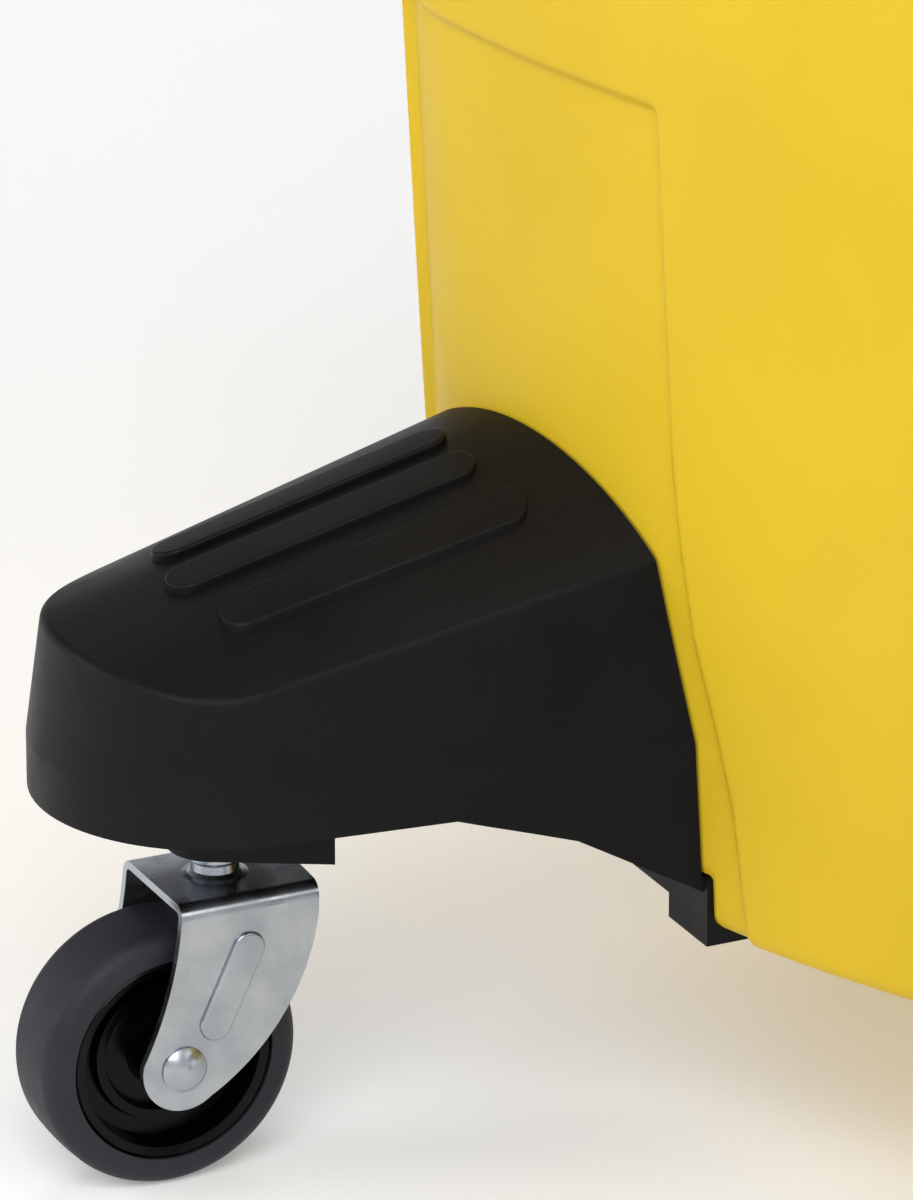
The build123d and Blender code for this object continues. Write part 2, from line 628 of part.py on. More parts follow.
with BuildPart() as wringer_frame:
    # The ring lies on the tub's rim and follows its outline
    with BuildSketch(Plane.XY.offset(RING_BOTTOM)) as ring_plan:
        tub_plan(ring_plan, RIM_GROW + RIM_OVERHANG + 4.5)
        with Locations(((RING_FRONT + RING_REAR) / 2, 0)):
            Rectangle(RING_REAR - RING_FRONT, 420, mode=Mode.INTERSECT)
        with Locations((WRINGER_X, 0)):
            Rectangle(2 * BASKET_HALF_LENGTH, 2 * BASKET_HALF_WIDTH, mode=Mode.SUBTRACT)
    extrude(amount=RING_THICKNESS)
    # A hook down the outside of each side rim, with a lifting lip
    with BuildSketch(Plane.XY.offset(RING_BOTTOM - HOOK_DROP)):
        for side in (-1, 1):
            inner_y = FLOOR_HALF_WIDTH + RIM_GROW + RIM_OVERHANG + 0.8
            with Locations((62, side * (inner_y + 1.8))):
                Rectangle(108, 3.6)
    extrude(amount=HOOK_DROP)
    with BuildSketch(Plane.XY.offset(RING_BOTTOM - HOOK_DROP)):
        for side in (-1, 1):
            with Locations((62, side * (inner_y + 2.7))):
                Rectangle(96, 5.3)
    extrude(amount=4)
    # The basket that hangs inside the tub
    with BuildSketch(Plane.XY.offset(BASKET_BOTTOM)):
        with Locations((WRINGER_X, 0)):
            Rectangle(2 * (BASKET_HALF_LENGTH + BASKET_WALL), 2 * (BASKET_HALF_WIDTH + BASKET_WALL))
            Rectangle(2 * BASKET_HALF_LENGTH, 2 * BASKET_HALF_WIDTH, mode=Mode.SUBTRACT)
    extrude(amount=RING_TOP - BASKET_BOTTOM)
    with BuildSketch(Plane.XY.offset(BASKET_BOTTOM)):
        with Locations((WRINGER_X, 0)):
            Rectangle(2 * (BASKET_HALF_LENGTH + BASKET_WALL), 2 * (BASKET_HALF_WIDTH + BASKET_WALL))
            basket_slots(2, 13, 68, 20, 54, 8)
    extrude(amount=3)
    # Drainage slots through the long walls and the end walls
    with BuildSketch(Plane.YZ.offset(basket_front - 5)):
        with Locations((0, 322)):
            with GridLocations(24, 60, 11, 2):
                SlotOverall(44, 8, rotation=90)
    extrude(amount=2 * BASKET_HALF_LENGTH + 10, mode=Mode.SUBTRACT)
    # Shaft supports: an outer bracket and an inner post
    for outer_y, inner_y in ((-bracket_outer_y, -bracket_outer_y + 4), (-145, -139)):
        with BuildSketch(Plane.XZ.offset(-inner_y)):
            with Locations((WRINGER_X, PINION_Z)):
                Circle(17)
            with Locations((WRINGER_X, (PINION_Z + RING_TOP - 1) / 2)):
                Rectangle(34 if outer_y < -150 else 30, PINION_Z - RING_TOP + 1)
            with Locations((WRINGER_X, PINION_Z)):
                Circle(BUSH_RADIUS + FIT, mode=Mode.SUBTRACT)
        extrude(amount=inner_y - outer_y)
    # Posts for the cover screws
    with BuildSketch(Plane.XY.offset(RING_TOP - 1)):
        with Locations(*post_places):
            Circle(3.3)
    extrude(amount=post_top - RING_TOP + 1)
    with BuildSketch(Plane.XY.offset(post_top)):
        with Locations(*post_places):
            Circle(1.4)
    extrude(amount=-14, mode=Mode.SUBTRACT)
save(wringer_frame.part, "wringer_frame")


def cover(side):
    """Shell over the gears at side -1, or over the guide bars at side +1."""
    middle_y = side * (COVER_OUTER_Y + COVER_INNER_Y) / 2
    width = COVER_OUTER_Y - COVER_INNER_Y
    length = RING_REAR - RING_FRONT - 6
    base = RING_TOP + 0.3
    with BuildPart() as shell:
        with BuildSketch(Plane.XY.offset(base)):
            with Locations((RING_FRONT + 3 + length / 2, middle_y)):
                RectangleRounded(length, width, 6)
        extrude(amount=COVER_TOP - base)
        fillet(shell.faces().sort_by(Axis.Z)[-1].edges(), 5)
        with BuildSketch(Plane.XY.offset(base)):
            with Locations((RING_FRONT + 3 + length / 2, middle_y)):
                RectangleRounded(length - 2 * COVER_SHEET, width - 2 * COVER_SHEET, 3.8)
        extrude(amount=COVER_TOP - base - COVER_SHEET, mode=Mode.SUBTRACT)
        # The plates' arms pass under the inner wall
        inner_wall = side * COVER_INNER_Y
        low_y, high_y = sorted((inner_wall - side * 3, inner_wall + side * 14))
        box_between((RING_FRONT + 8, low_y, base - 1), (RING_REAR - 8, high_y, PLATE_TOP + 2), mode=Mode.SUBTRACT)
        with Locations(*[(x, y, COVER_TOP) for x, y in post_places if y * side > 0]):
            Cylinder(1.9, 12, mode=Mode.SUBTRACT)
        if side < 0:
            with Locations((WRINGER_X, -COVER_OUTER_Y, PINION_Z)):
                Cylinder(12.5, 12, rotation=(90, 0, 0), mode=Mode.SUBTRACT)
            box_between(
                (WRINGER_X - 12.5, -COVER_OUTER_Y - 2, base - 1), (WRINGER_X + 12.5, -COVER_OUTER_Y + 4, PINION_Z),
                mode=Mode.SUBTRACT,
            )
    return shell.part


save(cover(-1), "gear_cover")
save(cover(1), "guide_cover")

with BuildPart() as cover_screws:
    with Locations(*[(x, y, COVER_TOP + 0.2) for x, y in post_places]):
        Cylinder(3.8, 2, align=(Align.CENTER, Align.CENTER, Align.MIN))
        Cylinder(1.3, 13, align=(Align.CENTER, Align.CENTER, Align.MAX))
save(cover_screws.part, "cover_screws")


def press_plate(end):
    """A ribbed, perforated plate with an arm at each side; end is FRONT or REAR."""
    face_x = WRINGER_X + end * PLATE_GAP / 2
    back_x = face_x + end * PLATE_DEPTH
    sheet_x = face_x + end * PLATE_SHEET
    low_x, high_x = min(face_x, back_x), max(face_x, back_x)
    drive_top = PINION_Z + PITCH_RADIUS + TOOTH_ROOT + RACK_BACKING if end == FRONT else RACK_BOTTOM + RACK_BACKING
    guide_top = RACK_BOTTOM + (24 if end == FRONT else 10)
    with BuildPart() as plate:
        box_between(
            (min(face_x, sheet_x), -PLATE_HALF_WIDTH, PLATE_BOTTOM),
            (max(face_x, sheet_x), PLATE_HALF_WIDTH, PLATE_TOP),
        )
        with BuildSketch(Plane.YZ.offset(low_x - 1)):
            with Locations((0, PLATE_BOTTOM + 62)):
                with GridLocations(22, 24, 11, 5):
                    Circle(4)
        extrude(amount=PLATE_DEPTH + 2, mode=Mode.SUBTRACT)
        for rib_y in [22 * k for k in range(-5, 6, 2)]:
            rib_y = rib_y - 11 if rib_y > 0 else rib_y + 11
            box_between((low_x, rib_y - 1.25, PLATE_BOTTOM), (high_x, rib_y + 1.25, PLATE_TOP - 4))
        for rail_z in (PLATE_BOTTOM, PLATE_TOP - 5):
            box_between((low_x, -PLATE_HALF_WIDTH, rail_z), (high_x, PLATE_HALF_WIDTH, rail_z + 5))
        for side, top in ((-1, drive_top), (1, guide_top)):
            low_y, high_y = sorted((side * (PLATE_HALF_WIDTH - 1), side * (EAR_INNER_Y + EAR_THICKNESS)))
            box_between((low_x, low_y, PLATE_TOP - 5), (high_x, high_y, PLATE_TOP))
            low_y, high_y = sorted((side * EAR_INNER_Y, side * (EAR_INNER_Y + EAR_THICKNESS)))
            box_between((low_x, low_y, PLATE_TOP - 5), (high_x, high_y, top))
    return plate.part


save(press_plate(FRONT), "front_press_plate")
save(press_plate(REAR), "rear_press_plate")


def rack(end):
    """The straight toothed bar of one press plate: over the pinion for the front one, under it for the rear one."""
    up = 1 if end == FRONT else -1
    pitch_line = PINION_Z + up * PITCH_RADIUS
    root_line = pitch_line + up * TOOTH_ROOT
    back_line = root_line + up * RACK_BACKING
    plate_x = WRINGER_X + end * (PLATE_GAP / 2 + PLATE_DEPTH)
    free_x = WRINGER_X - end * 20
    slope = math.tan(math.radians(PRESSURE_ANGLE))
    half_tooth = PITCH / 4 - BACKLASH / 2
    with BuildPart() as bar:
        with BuildSketch(Plane.XZ.offset(RACK_INNER_Y)):
            with Locations(((plate_x + free_x) / 2, (root_line + back_line) / 2)):
                Rectangle(abs(plate_x - free_x), RACK_BACKING)
            for k in range(-2, 7):
                tooth_x = WRINGER_X + end * k * PITCH
                with BuildLine():
                    Polyline(
                        (tooth_x - half_tooth - TOOTH_ROOT * slope, root_line + up),
                        (tooth_x - half_tooth - TOOTH_ROOT * slope, root_line),
                        (tooth_x - half_tooth + TOOTH_TOP * slope, pitch_line - up * TOOTH_TOP),
                        (tooth_x + half_tooth - TOOTH_TOP * slope, pitch_line - up * TOOTH_TOP),
                        (tooth_x + half_tooth + TOOTH_ROOT * slope, root_line),
                        (tooth_x + half_tooth + TOOTH_ROOT * slope, root_line + up),
                        (tooth_x - half_tooth - TOOTH_ROOT * slope, root_line + up),
                    )
                make_face()
        extrude(amount=RACK_WIDTH)
    return bar.part


save(rack(FRONT), "upper_rack")
save(rack(REAR), "lower_rack")


def guide_bar(end):
    """Plain bar on the other side of a press plate that slides in the guide block."""
    low_z = RACK_BOTTOM + (14 if end == FRONT else 0)
    plate_x = WRINGER_X + end * (PLATE_GAP / 2 + PLATE_DEPTH)
    free_x = WRINGER_X - end * 16
    with BuildPart() as bar:
        box_between(
            (min(plate_x, free_x), RACK_INNER_Y, low_z), (max(plate_x, free_x), RACK_INNER_Y + 8, low_z + 10)
        )
        chamfer(bar.edges().filter_by(Axis.Y), 1.5)
    return bar.part


save(guide_bar(FRONT), "front_guide_bar")
save(guide_bar(REAR), "rear_guide_bar")

with BuildPart() as guide_block:
    box_between((WRINGER_X - 12, EAR_INNER_Y + 1, RING_TOP), (WRINGER_X + 12, COVER_OUTER_Y - 5, RACK_BOTTOM + 31))
    for low_z in (RACK_BOTTOM, RACK_BOTTOM + 14):
        box_between(
            (WRINGER_X - 20, RACK_INNER_Y - 0.3, low_z - 0.3),
            (WRINGER_X + 20, RACK_INNER_Y + 8.3, low_z + 10.3),
            mode=Mode.SUBTRACT,
        )
save(guide_block.part, "guide_block")


def involute(base_radius, angle):
    """A point of the involute of a circle, unrolled by angle."""
    return (
        base_radius * (math.cos(angle) + angle * math.sin(angle)),
        base_radius * (math.sin(angle) - angle * math.cos(angle)),
    )


def turned(point, angle):
    """A point turned about the origin."""
    x, y = point
    return (x * math.cos(angle) - y * math.sin(angle), x * math.sin(angle) + y * math.cos(angle))


pressure = math.radians(PRESSURE_ANGLE)
base_radius = PITCH_RADIUS * math.cos(pressure)
tip_radius = PITCH_RADIUS + TOOTH_TOP
root_radius = PITCH_RADIUS - TOOTH_ROOT
tip_unroll = math.sqrt((tip_radius / base_radius) ** 2 - 1)
half_tooth_angle = (PITCH / 4 - BACKLASH / 2) / PITCH_RADIUS + math.tan(pressure) - pressure
FLANK_STEPS = 5

with BuildPart() as drive_pinion:
    with BuildSketch(Plane.XZ.offset(RACK_INNER_Y + 0.6)):
        with Locations((WRINGER_X, PINION_Z)):
            Circle(root_radius)
        for tooth in range(PINION_TEETH):
            middle = math.pi / 2 + (tooth + 0.5) * 2 * math.pi / PINION_TEETH
            flank = [involute(base_radius, tip_unroll * k / FLANK_STEPS) for k in range(FLANK_STEPS + 1)]
            right = [turned(p, middle - half_tooth_angle) for p in flank]
            left = [turned((x, -y), middle + half_tooth_angle) for x, y in flank]
            foot_right = turned((root_radius - 0.6, 0), middle - half_tooth_angle)
            foot_left = turned((root_radius - 0.6, 0), middle + half_tooth_angle)
            outline = [foot_right, *right, *reversed(left), foot_left, foot_right]
            with BuildLine():
                Polyline(*[(WRINGER_X + x, PINION_Z + z) for x, z in outline])
            make_face()
        with Locations((WRINGER_X, PINION_Z)):
            Circle(SHAFT_RADIUS + FIT, mode=Mode.SUBTRACT)
    extrude(amount=RACK_WIDTH - 1.2)
save(drive_pinion.part, "drive_pinion")

with BuildPart() as lever_shaft:
    with BuildSketch(Plane.XZ.offset(138.6)):
        with Locations((WRINGER_X, PINION_Z)):
            Circle(SHAFT_RADIUS)
    extrude(amount=-LEVER_Y + 10 - 138.6)
    chamfer(lever_shaft.edges().filter_by(GeomType.CIRCLE), 0.8)
    with Locations((WRINGER_X, LEVER_Y, PINION_Z)):
        Cylinder(3 + FIT, 40, rotation=(0, 90, 0), mode=Mode.SUBTRACT)
save(lever_shaft.part, "lever_shaft")

with BuildPart() as shaft_bushes:
    for start_y, length, flange_y in ((139, 6, 138.2), (bracket_outer_y - 4, 4, bracket_outer_y - 5.2)):
        with BuildSketch(Plane.XZ.offset(start_y)):
            with Locations((WRINGER_X, PINION_Z)):
                Circle(BUSH_RADIUS)
                Circle(SHAFT_RADIUS + FIT, mode=Mode.SUBTRACT)
        extrude(amount=length)
        with BuildSketch(Plane.XZ.offset(flange_y)):
            with Locations((WRINGER_X, PINION_Z)):
                Circle(BUSH_RADIUS + 2)
                Circle(SHAFT_RADIUS + FIT, mode=Mode.SUBTRACT)
        extrude(amount=start_y - flange_y - 0.05)
save(shaft_bushes.part, "shaft_bushes")

with BuildPart() as return_spring:
    with BuildLine() as coil:
        Helix(pitch=1.75, height=4.4, radius=11.5, center=(WRINGER_X, -146.2, PINION_Z), direction=(0, -1, 0))
    with BuildSketch(Plane(origin=coil.line @ 0, z_dir=coil.line % 0)):
        Circle(0.75)
    sweep()
save(return_spring.part, "return_spring")

socket_radius = LEVER_TUBE_RADIUS + 3
with BuildPart() as lever_socket:
    with BuildSketch(Plane.XZ.offset(-LEVER_Y - socket_radius)):
        with Locations((WRINGER_X, PINION_Z)):
            Circle(19)
    extrude(amount=2 * socket_radius)
    with BuildSketch(Plane.XY.offset(PINION_Z)):
        with Locations((WRINGER_X, LEVER_Y)):
            Circle(socket_radius)
    extrude(amount=72)
    with BuildSketch(Plane.XY.offset(PINION_Z + 22)):
        with Locations((WRINGER_X, LEVER_Y)):
            Circle(LEVER_TUBE_RADIUS + FIT)
    extrude(amount=60, mode=Mode.SUBTRACT)
    with BuildSketch(Plane.XZ.offset(100)):
        with Locations((WRINGER_X, PINION_Z)):
            Circle(SHAFT_RADIUS + FIT)
    extrude(amount=-LEVER_Y + 10.4 - 100, mode=Mode.SUBTRACT)
    with Locations((WRINGER_X, LEVER_Y, PINION_Z), (WRINGER_X, LEVER_Y, PINION_Z + 52)):
        Cylinder(3 + FIT, 60, rotation=(0, 90, 0), mode=Mode.SUBTRACT)
save(lever_socket.part, "lever_socket")

with BuildPart() as lever_tube:
    with BuildSketch(Plane.XY.offset(PINION_Z + 22.5)):
        with Locations((WRINGER_X, LEVER_Y)):
            Circle(LEVER_TUBE_RADIUS)
            Circle(LEVER_TUBE_RADIUS - 1.5, mode=Mode.SUBTRACT)
    extrude(amount=LEVER_TOP - PINION_Z - 22.5)
    with Locations((WRINGER_X, LEVER_Y, PINION_Z + 52)):
        Cylinder(3 + FIT, 60, rotation=(0, 90, 0), mode=Mode.SUBTRACT)
save(lever_tube.part, "lever_tube")

with BuildPart() as lever_bolts:
    for bolt_z, reach in ((PINION_Z, 19.3), (PINION_Z + 52, socket_radius + 0.4)):
        with Locations((WRINGER_X, LEVER_Y, bolt_z)):
            Cylinder(3, 2 * reach, rotation=(0, 90, 0))
        for side in (-1, 1):
            with Locations((WRINGER_X + side * (reach + 1.4), LEVER_Y, bolt_z)):
                Cylinder(5.2, 3.2, rotation=(0, 90, 0))
save(lever_bolts.part, "lever_bolts")

with BuildPart() as lever_grip:
    with BuildSketch(Plane.XZ.offset(-LEVER_Y)):
        with BuildLine():
            ring_pitch = (GRIP_TOP - GRIP_BOTTOM - 26) / 4
            inner = WRINGER_X + LEVER_TUBE_RADIUS + FIT
            outer = WRINGER_X + GRIP_RADIUS
            Line((inner, GRIP_BOTTOM), (outer, GRIP_BOTTOM))
            Line((outer, GRIP_BOTTOM), (outer, GRIP_BOTTOM + 6))
            for k in range(4):
                start = GRIP_BOTTOM + 6 + k * ring_pitch
                ThreePointArc((outer, start), (outer - 1.8, start + ring_pitch / 2), (outer, start + ring_pitch))
            shoulder = GRIP_BOTTOM + 6 + 4 * ring_pitch
            Line((outer, shoulder), (outer, GRIP_TOP - 10))
            RadiusArc((outer, GRIP_TOP - 10), (WRINGER_X, GRIP_TOP), -(GRIP_RADIUS**2 + 100) / 20)
            Line((WRINGER_X, GRIP_TOP), (WRINGER_X, LEVER_TOP + 0.3))
            Line((WRINGER_X, LEVER_TOP + 0.3), (inner, LEVER_TOP + 0.3))
            Line((inner, LEVER_TOP + 0.3), (inner, GRIP_BOTTOM))
        make_face()
    revolve(axis=Axis((WRINGER_X, LEVER_Y, 0), (0, 0, 1)))
save(lever_grip.part, "lever_grip")

# ---------------------------------------------------------------- mop

with BuildPart() as mop_handle:
    with BuildSketch(Plane.XY.offset(HANDLE_BOTTOM)):
        with Locations((MOP_X, 0)):
            Circle(HANDLE_RADIUS)
            Circle(HANDLE_RADIUS - 2, mode=Mode.SUBTRACT)
    extrude(amount=HANDLE_TOP - HANDLE_BOTTOM)
save(mop_handle.part, "mop_handle")

with BuildPart() as handle_cap:
    with BuildSketch(Plane.XY.offset(HANDLE_TOP - 45)):
        with Locations((MOP_X, 0)):
            Circle(HANDLE_RADIUS + 1.6)
    extrude(amount=45 + 9)
    fillet(handle_cap.faces().sort_by(Axis.Z)[-1].edges(), 7)
    with BuildSketch(Plane.XY.offset(HANDLE_TOP - 46)):
        with Locations((MOP_X, 0)):
            Circle(HANDLE_RADIUS + FIT)
    extrude(amount=46.3, mode=Mode.SUBTRACT)
save(handle_cap.part, "handle_cap")

yoke_bottom, yoke_top = BAND_TOP + 2, 300.0
with BuildPart() as clamp_body:
    # The yoke over the band, with an arm down each end
    with BuildSketch(Plane.YZ.offset(MOP_X - CLAMP_HALF_DEPTH)):
        with BuildLine():
            Polyline(
                (-CLAMP_HALF_WIDTH, GATE_BOTTOM), (-CLAMP_HALF_WIDTH, yoke_bottom + 6), (-34, yoke_top + 14),
                (34, yoke_top + 14), (CLAMP_HALF_WIDTH, yoke_bottom + 6), (CLAMP_HALF_WIDTH, GATE_BOTTOM),
                (CLAMP_HALF_WIDTH - 9, GATE_BOTTOM), (CLAMP_HALF_WIDTH - 9, yoke_bottom),
                (9 - CLAMP_HALF_WIDTH, yoke_bottom), (9 - CLAMP_HALF_WIDTH, GATE_BOTTOM),
                (-CLAMP_HALF_WIDTH, GATE_BOTTOM),
            )
        make_face()
    extrude(amount=2 * CLAMP_HALF_DEPTH)
    fillet(clamp_body.edges().filter_by(Axis.X).group_by(Axis.Z)[-1], 8)
    with BuildSketch(Plane.XY.offset(yoke_top)):
        with Locations((MOP_X, 0)):
            Circle(HANDLE_RADIUS + 7)
    extrude(amount=80, taper=2.2)
    with BuildSketch(Plane.XY.offset(HANDLE_BOTTOM - 0.3)):
        with Locations((MOP_X, 0)):
            Circle(HANDLE_RADIUS + FIT)
    extrude(amount=90, mode=Mode.SUBTRACT)
    gate_z = (GATE_BOTTOM + GATE_TOP) / 2
    with Locations((MOP_X, 0, gate_z)):
        Cylinder(3 + FIT, 2 * CLAMP_HALF_WIDTH + 10, rotation=(90, 0, 0), mode=Mode.SUBTRACT)
save(clamp_body.part, "clamp_body")

with BuildPart() as clamp_gate:
    with BuildSketch(Plane.XZ.offset(9.3 - CLAMP_HALF_WIDTH)):
        with Locations((MOP_X, gate_z)):
            RectangleRounded(2 * CLAMP_HALF_DEPTH - 8, GATE_TOP - GATE_BOTTOM, 4)
            Circle(3 + FIT, mode=Mode.SUBTRACT)
    extrude(amount=2 * CLAMP_HALF_WIDTH - 18.6)
save(clamp_gate.part, "clamp_gate")

with BuildPart() as clamp_screw:
    with BuildSketch(Plane.XZ.offset(-CLAMP_HALF_WIDTH - 16)):
        with Locations((MOP_X, gate_z)):
            Circle(3)
    extrude(amount=2 * CLAMP_HALF_WIDTH + 16.5)
    with BuildSketch(Plane.XZ.offset(CLAMP_HALF_WIDTH + 0.1)):
        with Locations((MOP_X, gate_z)):
            Circle(5.5)
    extrude(amount=3)
save(clamp_screw.part, "clamp_screw")

LOBES = 8
with BuildPart() as thumb_wheel:
    with BuildSketch(Plane.XZ.offset(-CLAMP_HALF_WIDTH - 13)):
        with Locations((MOP_X, gate_z)):
            Circle(13)
            with PolarLocations(14.6, LOBES):
                Circle(3.4, mode=Mode.SUBTRACT)
            Circle(3 + FIT, mode=Mode.SUBTRACT)
    extrude(amount=12.4)
save(thumb_wheel.part, "thumb_wheel")

with BuildPart() as headband:
    with BuildSketch(Plane.XZ.offset(12 - CLAMP_HALF_WIDTH)):
        with Locations((MOP_X, (GATE_TOP + 1 + BAND_TOP) / 2)):
            RectangleRounded(20, BAND_TOP - GATE_TOP - 1, 6)
    extrude(amount=2 * CLAMP_HALF_WIDTH - 24)
save(headband.part, "headband")

with BuildPart() as mop_yarn:
    with BuildSketch(Plane.XY.offset(YARN_BOTTOM)):
        with Locations((MOP_X, 0)):
            Ellipse(80, 120)
    with BuildSketch(Plane.XY.offset(YARN_BOTTOM + 60)):
        with Locations((MOP_X, 0)):
            Ellipse(64, 100)
    with BuildSketch(Plane.XY.offset(GATE_BOTTOM - 2)):
        with Locations((MOP_X, 0)):
            Ellipse(30, 76)
    loft()
save(mop_yarn.part, "mop_yarn")
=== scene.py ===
"""Looks of the mop bucket, its wringer and the mop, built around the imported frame. Metres, +Z up.

The tub and the mop's yarn are made here in millimetres and scaled to metres. Every other piece is the
frame's own solid with a finish from this file.
"""

import json
import math
import random

import bpy
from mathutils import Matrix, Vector


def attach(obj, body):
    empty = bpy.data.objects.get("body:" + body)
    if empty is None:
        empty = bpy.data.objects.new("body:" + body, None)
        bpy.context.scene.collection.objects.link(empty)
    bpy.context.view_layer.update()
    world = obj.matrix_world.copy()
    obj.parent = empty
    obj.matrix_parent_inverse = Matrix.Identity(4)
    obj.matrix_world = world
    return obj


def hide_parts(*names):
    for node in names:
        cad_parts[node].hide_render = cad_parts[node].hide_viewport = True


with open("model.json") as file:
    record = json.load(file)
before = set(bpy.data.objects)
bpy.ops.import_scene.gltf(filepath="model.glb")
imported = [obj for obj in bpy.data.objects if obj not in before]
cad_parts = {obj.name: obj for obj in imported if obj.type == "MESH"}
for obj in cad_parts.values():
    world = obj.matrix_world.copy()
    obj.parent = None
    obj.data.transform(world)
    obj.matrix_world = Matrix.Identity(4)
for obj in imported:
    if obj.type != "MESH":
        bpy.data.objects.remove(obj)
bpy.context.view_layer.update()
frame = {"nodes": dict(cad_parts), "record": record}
scene = bpy.context.scene

# ---------------------------------------------------------------- camera

CAMERA_PLACE = Vector((-1.6418, -1.0941, 0.8650))
CAMERA_TARGET = Vector((-0.2227, 0.1099, 0.1326))
CAMERA_LENS = 256.2


def make_camera():
    """The view of the front right corner: a long lens, 21 degrees above the level."""
    data = bpy.data.cameras.new("camera")
    data.lens = CAMERA_LENS
    data.sensor_width = 36.0
    data.clip_start = 0.05
    camera = bpy.data.objects.new("camera", data)
    camera.location = CAMERA_PLACE
    camera.rotation_euler = (CAMERA_TARGET - CAMERA_PLACE).to_track_quat("-Z", "Y").to_euler()
    scene.collection.objects.link(camera)
    scene.camera = camera


make_camera()

# ---------------------------------------------------------------- materials


class Finish:
    """A material with a Principled shader and short ways to add textures in the object's own metres."""

    def __init__(self, name, roughness, metallic=0.0, specular=0.5):
        self.material = bpy.data.materials.new(name)
        self.material.use_nodes = True
        self.tree = self.material.node_tree
        self.shader = self.tree.nodes["Principled BSDF"]
        self.shader.inputs["Roughness"].default_value = roughness
        self.shader.inputs["Metallic"].default_value = metallic
        self.shader.inputs["Specular IOR Level"].default_value = specular
        self.place = self.tree.nodes.new("ShaderNodeTexCoord").outputs["Object"]
        self.height = None

    def node(self, kind, **settings):
        made = self.tree.nodes.new(kind)
        for key, value in settings.items():
            setattr(made, key, value)
        return made

    def link(self, source, target):
        self.tree.links.new(source, target)

    def stretched(self, x, y, z):
        """The object's coordinates scaled along each axis, for grain that runs one way."""
        mapping = self.node("ShaderNodeMapping")
        mapping.inputs["Scale"].default_value = (x, y, z)
        self.link(self.place, mapping.inputs["Vector"])
        return mapping.outputs["Vector"]

    def noise(self, scale, detail=3.0, source=None):
        made = self.node("ShaderNodeTexNoise")
        made.inputs["Scale"].default_value = scale
        made.inputs["Detail"].default_value = detail
        self.link(source or self.place, made.inputs["Vector"])
        return made.outputs["Fac"]

    def spread(self, fac, low, high):
        """A value that runs from low to high over the useful middle of a noise."""
        made = self.node("ShaderNodeMapRange")
        made.inputs["From Min"].default_value = 0.3
        made.inputs["From Max"].default_value = 0.7
        made.inputs["To Min"].default_value = low
        made.inputs["To Max"].default_value = high
        self.link(fac, made.inputs["Value"])
        return made.outputs["Result"]

    def color(self, fac, low, high):
        """Base colour between two tones, by a texture."""
        ramp = self.node("ShaderNodeValToRGB")
        ramp.color_ramp.elements[0].position = 0.35
        ramp.color_ramp.elements[0].color = (*low, 1.0)
        ramp.color_ramp.elements[1].position = 0.65
        ramp.color_ramp.elements[1].color = (*high, 1.0)
        self.link(fac, ramp.inputs["Fac"])
        self.link(ramp.outputs["Color"], self.shader.inputs["Base Color"])

    def roughness(self, fac, low, high):
        self.link(self.spread(fac, low, high), self.shader.inputs["Roughness"])

    def bump(self, fac, depth, strength=1.0):
        """Relief of a depth in metres, on top of what was added before."""
        made = self.node("ShaderNodeBump")
        made.inputs["Strength"].default_value = strength
        made.inputs["Distance"].default_value = depth
        self.link(fac, made.inputs["Height"])
        if self.height is not None:
            self.link(self.height, made.inputs["Normal"])
        self.height = made.outputs["Normal"]
        self.link(self.height, self.shader.inputs["Normal"])


def moulded(name, low, high, roughness, specular, grain=0.00004, grain_scale=1500.0):
    """Moulded plastic: slight flow marks, a fine sprayed grain and uneven gloss."""
    finish = Finish(name, roughness, specular=specular)
    finish.color(finish.noise(16.0, 4.0), low, high)
    finish.roughness(finish.noise(55.0, 4.0), roughness - 0.05, roughness + 0.07)
    finish.bump(finish.noise(9.0, 1.0), 0.0004, 0.5)
    finish.bump(finish.noise(grain_scale, 2.0), grain)
    return finish.material


def plated(name, low, high, roughness):
    """Bright zinc plating: cloudy tone, fine rolling lines and small pits."""
    finish = Finish(name, roughness, metallic=1.0)
    finish.color(finish.noise(70.0, 5.0), low, high)
    finish.roughness(finish.noise(120.0, 4.0), roughness - 0.09, roughness + 0.1)
    finish.bump(finish.noise(1.0, 3.0, finish.stretched(1200.0, 1200.0, 90.0)), 0.000012)
    finish.bump(finish.noise(420.0, 3.0), 0.000025)
    return finish.material


def rubber(name, low, high, roughness, specular=0.3):
    """Moulded rubber: a dull bloom over fine grain."""
    finish = Finish(name, roughness, specular=specular)
    finish.color(finish.noise(45.0, 5.0), low, high)
    finish.roughness(finish.noise(90.0, 3.0), roughness - 0.06, roughness + 0.1)
    finish.bump(finish.noise(1900.0, 2.0), 0.00003)
    finish.bump(finish.noise(160.0, 2.0), 0.00005)
    return finish.material


def nylon():
    """Natural nylon: creamy, a little see-through, with faint machining marks."""
    finish = Finish("gear_nylon", 0.4)
    finish.color(finish.noise(60.0), (0.60, 0.57, 0.47), (0.70, 0.67, 0.58))
    finish.roughness(finish.noise(140.0), 0.34, 0.5)
    finish.bump(finish.noise(1.0, 2.0, finish.stretched(1500.0, 120.0, 1500.0)), 0.00002)
    finish.shader.inputs["Subsurface Weight"].default_value = 0.08
    finish.shader.inputs["Subsurface Radius"].default_value = (0.003, 0.0025, 0.002)
    return finish.material


def fibreglass():
    """Drawn fibreglass tube: long pale fibres under a satin resin."""
    finish = Finish("fibreglass", 0.36)
    fibres = finish.noise(1.0, 4.0, finish.stretched(900.0, 900.0, 14.0))
    finish.color(fibres, (0.60, 0.53, 0.33), (0.74, 0.68, 0.48))
    finish.roughness(fibres, 0.3, 0.44)
    finish.bump(fibres, 0.00003)
    finish.bump(finish.noise(25.0), 0.0001, 0.5)
    return finish.material


